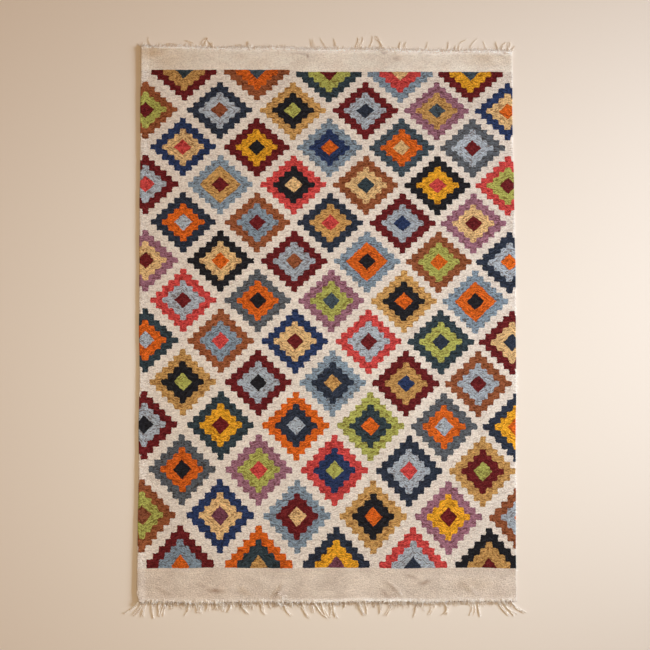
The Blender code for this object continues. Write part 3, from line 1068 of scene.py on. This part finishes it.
def makeStrayFibres(material):
    chance = random.Random(strayFibresSeed)
    curve = newCurve("strayFibres")

    for low, high, side, count, reach in straySides:
        for _ in range(count):
            along = chance.uniform(low, high)
            x = sideEdge(side, along)
            y = blend(footEdge(x), headEdge(x), along)
            lean, length = chance.uniform(-1.2, 1.2), reach * chance.uniform(0.4, 1.2)
            bend, top = chance.uniform(-0.6, 0.6), chance.uniform(0.0015, 0.0040)
            points = []
            for number in range(6):
                share = number / 5
                turn = lean + bend * share
                out = side * (length * share * math.cos(turn) - 0.0025)
                z = blend(top, 0.0006, smooth(0.1, 0.9, share))
                points.append((x + out, y + length * share * math.sin(turn), z))
            addFibre(curve, points, chance.uniform(0.0003, 0.0005))
    halfWidth = outline["headWidth"] / 2
    for outward, count, reach, radius, top in strayEnds:
        for _ in range(count):
            addEndFibre(curve, chance, outward, -halfWidth, halfWidth, reach, radius, top)
    for middleX, middleY, size, arcs in tangles:
        for _ in range(arcs):
            phase, turns = chance.uniform(0, 2 * math.pi), chance.uniform(0.3, 0.8)
            radius, squeeze = size * chance.uniform(0.35, 0.9), chance.uniform(0.4, 1.0)
            x = middleX + size * chance.uniform(-0.8, 0.8)
            y = middleY + size * chance.uniform(-0.6, 0.6)
            points = []
            for number in range(9):
                turn = phase + 2 * math.pi * turns * number / 8
                outside = footEdge(x) - (y + radius * math.sin(turn))
                z = blend(0.0100, 0.0040, smooth(-0.002, 0.010, outside)) + 0.0004 * math.sin(3 * turn)
                points.append((x + radius * math.cos(turn), y + radius * squeeze * math.sin(turn), z))
            addFibre(curve, points, chance.uniform(0.00035, 0.0006))
    return curveToPiece(curve, "strayFibres", material, 1.0)


kilimMaterial = makeKilimMaterial()
yarnMaterial = makeYarnMaterial()
rugCloth = makeCloth()
rugCloth.data.materials.append(kilimMaterial)
print("cloth", len(rugCloth.data.polygons), "faces")
headFringe = makeFringe("headFringe", headTassels, headFringeStyle, headEdge, 1, yarnMaterial)
footFringe = makeFringe("footFringe", footTassels, footFringeStyle, footEdge, -1, yarnMaterial)
strayFibres = makeStrayFibres(yarnMaterial)
paintedShadeFibres = makeFootFibres("paintedShadeFibres", footShadeFibres, yarnMaterial)
wispAndShadeFibres = makeFootFibres("wispAndShadeFibres", wispsWithPaintedShade, yarnMaterial)
print("fringes", len(headFringe.data.polygons), len(footFringe.data.polygons), "faces")

for piece in (rugCloth, headFringe, footFringe, strayFibres, paintedShadeFibres, wispAndShadeFibres):
    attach(piece, "root")
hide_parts("rug_cloth")
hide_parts("head_fringe")
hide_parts("foot_fringe")

stage = {
    "floorSize": 60.0,
    "floor": (0.80, 0.71, 0.62, 1.0),
    "sky": (1.0, 0.74, 0.46, 1.0),
    "skyStrength": 0.200,
    "viewHeight": 4.91,
    "viewOffset": (-0.0048, 0.0128),
    "lens": 85.0,
    "sensor": 36.0,
}
# soft boxes: place, what it points at, size, power, spread in degrees, colour
softBoxes = {
    "key": ((5.3, 0.7, 2.25), (0.95, 0.0, 0.0), (1.8, 2.0), 49.0, 50.0, (0.72, 0.85, 1.0)),
    "fill": ((0.0, -0.3, 1.6), (0.0, -0.299, 0.0), (1.5, 1.5), 2.4, 120.0, (0.9, 1.0, 0.8)),
    "ceiling": ((-1.0, 0.0, 5.6), (-1.0, 0.001, 0.0), (5.0, 5.0), 104.0, 180.0, (1.0, 0.63, 0.34)),
}


def addSoftBox(name, place, aim, size, power, spread, colour):
    light = bpy.data.lights.new(name, "AREA")
    light.shape = "RECTANGLE"
    light.energy = power
    light.size, light.size_y = size
    light.spread = math.radians(spread)
    light.color = colour
    holder = bpy.data.objects.new(name, light)
    holder.location = place
    holder.rotation_euler = (Vector(aim) - Vector(place)).to_track_quat("-Z", "Y").to_euler()
    bpy.context.collection.objects.link(holder)


def makeStage():
    body = bmesh.new()
    bmesh.ops.create_grid(body, x_segments=8, y_segments=8, size=stage["floorSize"] / 2)
    bmesh.ops.translate(body, verts=body.verts, vec=(0, 0, -0.0002))
    mesh = bpy.data.meshes.new("floor")
    body.to_mesh(mesh)
    body.free()
    floor = bpy.data.objects.new("floor", mesh)
    bpy.context.collection.objects.link(floor)
    material, _, shader = newMaterial("paleFloor")
    shader.inputs["Base Color"].default_value = stage["floor"]
    shader.inputs["Roughness"].default_value = 0.9
    mesh.materials.append(material)

    world = bpy.data.worlds.new("studio")
    world.use_nodes = True
    background = world.node_tree.nodes["Background"]
    background.inputs["Color"].default_value = stage["sky"]
    background.inputs["Strength"].default_value = stage["skyStrength"]
    bpy.context.scene.world = world
    for name, settings in softBoxes.items():
        addSoftBox(name, *settings)

    camera = bpy.data.cameras.new("camera")
    camera.lens = stage["lens"]
    camera.sensor_width = stage["sensor"]
    camera.clip_end = 50
    holder = bpy.data.objects.new("camera", camera)
    offset = stage["viewOffset"]
    holder.location = (shift.x + offset[0], shift.y + offset[1], stage["viewHeight"])
    bpy.context.collection.objects.link(holder)
    bpy.context.scene.camera = holder
    bpy.context.scene.view_settings.view_transform = "Standard"
    bpy.context.scene.view_settings.look = "None"


makeStage()
print("stage ready")
